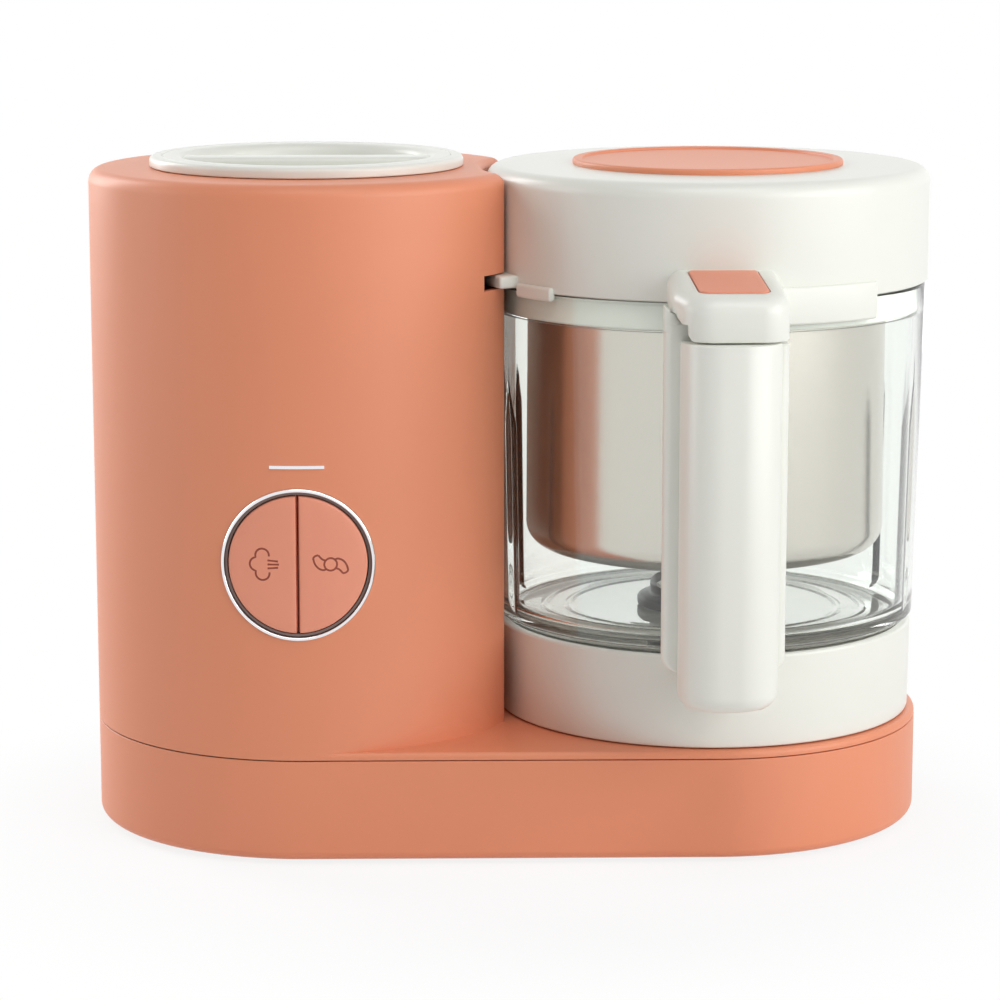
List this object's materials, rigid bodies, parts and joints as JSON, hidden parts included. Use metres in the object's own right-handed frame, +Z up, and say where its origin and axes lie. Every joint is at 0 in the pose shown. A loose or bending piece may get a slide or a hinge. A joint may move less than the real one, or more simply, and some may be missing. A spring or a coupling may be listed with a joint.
{
  "type": "baby food maker",
  "caption": "Countertop steamer and blender: a round boiler tower beside a lidded glass jar with a front handle and a steel steaming basket, on one long base.",
  "frame": {"origin": "centre of the whole object's plan box, on the surface that the feet stand on", "axes": "+X from the tower towards the jar, +Y towards the back with the handle and buttons at the front, +Z up"},
  "size_m": [0.2764, 0.187, 0.2217],
  "materials": {
    "coral_shell": "soft matt, fine grain",
    "white_shell": "satin",
    "clear_glass": "clear",
    "basket_steel": "brushed round",
    "steel": "plain turned",
    "chrome": "polished",
    "dark_plastic": "matt",
    "rubber": "matt",
    "clear_rubber": "translucent",
    "heater_alloy": "cast",
    "brass": "turned",
    "board": "solder mask"
  },
  "bodies": {
    "base": {"base_pan": "coral_shell", "body_housing": "coral_shell", "boiler_tank": "basket_steel", "bottom_screws": "steel", "board_screws": "steel", "bracket_screws": "steel", "motor_screws": "steel", "carrier_screws": "steel", "motor_can": "steel", "motor_bracket": "steel", "drive_bearings": "steel", "thermostat": "steel", "button_bezel": "chrome", "accent_bar": "chrome", "button_well": "dark_plastic", "tact_switches": "dark_plastic", "safety_switch": "dark_plastic", "motor_magnets": "dark_plastic", "bearing_carrier": "dark_plastic", "cord_gland": "dark_plastic", "rubber_feet": "rubber", "drive_belt": "rubber", "steam_port_seal": "clear_rubber", "boiler_heater": "heater_alloy", "steam_nozzle": "brass", "control_board": "board"},
    "steam_button": {"steam_button": "coral_shell"},
    "blend_button": {"blend_button": "coral_shell"},
    "tank_cap": {"tank_cap": "white_shell", "tank_cap_seal": "clear_rubber"},
    "jar": {"jar_collar": "white_shell", "jar_gasket": "clear_rubber", "jar_glass": "clear_glass", "shaft_bush": "brass", "shaft_seal": "rubber", "handle_spine": "white_shell", "handle_grip": "white_shell", "handle_screws": "steel"},
    "basket": {"steam_basket": "basket_steel", "basket_rim": "white_shell"},
    "lid": {"lid_shell": "white_shell", "lid_seal": "clear_rubber", "lid_liner": "white_shell", "lid_disc": "coral_shell", "lid_hood": "white_shell"},
    "latch": {"latch_button": "coral_shell"},
    "drive": {"driven_pulley": "dark_plastic", "drive_shaft": "steel", "drive_socket": "dark_plastic"},
    "motor": {"motor_rotor": "steel", "motor_shaft": "steel", "motor_pulley": "dark_plastic"},
    "blade": {"blade_shaft": "steel", "blade_hub": "dark_plastic", "blade_nut": "dark_plastic", "lower_knife": "steel", "upper_knife": "steel", "drive_dog": "dark_plastic"}
  },
  "joints": [
    {"name": "steam_press", "type": "slide", "parent": "base", "child": "steam_button", "axis": [0, 1, 0], "range_m": [0, 0.0012], "stiffness_N_per_m": 400},
    {"name": "blend_press", "type": "slide", "parent": "base", "child": "blend_button", "axis": [0, 1, 0], "range_m": [0, 0.0012], "stiffness_N_per_m": 400},
    {"name": "cap_lift", "type": "slide", "parent": "base", "child": "tank_cap", "axis": [0, 0, 1], "range_m": [0, 0.03]},
    {"name": "jar_turn", "type": "hinge", "parent": "base", "child": "jar", "pos_m": [0.06525, 0.0205, 0.05], "axis": [0, 0, 1], "range_deg": [0, 38]},
    {"name": "lid_turn", "type": "hinge", "parent": "jar", "child": "lid", "pos_m": [0.06525, 0.0205, 0.185], "axis": [0, 0, 1], "range_deg": [0, 30]},
    {"name": "basket_turn", "type": "hinge", "parent": "jar", "child": "basket", "pos_m": [0.06525, 0.0205, 0.172], "axis": [0, 0, 1], "continuous": true},
    {"name": "latch_press", "type": "slide", "parent": "lid", "child": "latch", "axis": [0, 0.1045, -0.9945], "range_m": [0, 0.0015], "stiffness_N_per_m": 500},
    {"name": "motor_spin", "type": "hinge", "parent": "base", "child": "motor", "pos_m": [-0.06675, 0.0205, 0.06], "axis": [0, 0, 1], "continuous": true},
    {"name": "drive_spin", "type": "hinge", "parent": "base", "child": "drive", "pos_m": [0.06525, 0.0205, 0.03], "axis": [0, 0, 1], "continuous": true},
    {"name": "blade_spin", "type": "hinge", "parent": "jar", "child": "blade", "pos_m": [0.06525, 0.0205, 0.06], "axis": [0, 0, 1], "continuous": true}
  ],
  "couplings": [
    {"joint": "drive_spin", "follows": "motor_spin", "ratio": 0.5},
    {"joint": "blade_spin", "follows": "motor_spin", "ratio": 0.5}
  ]
}
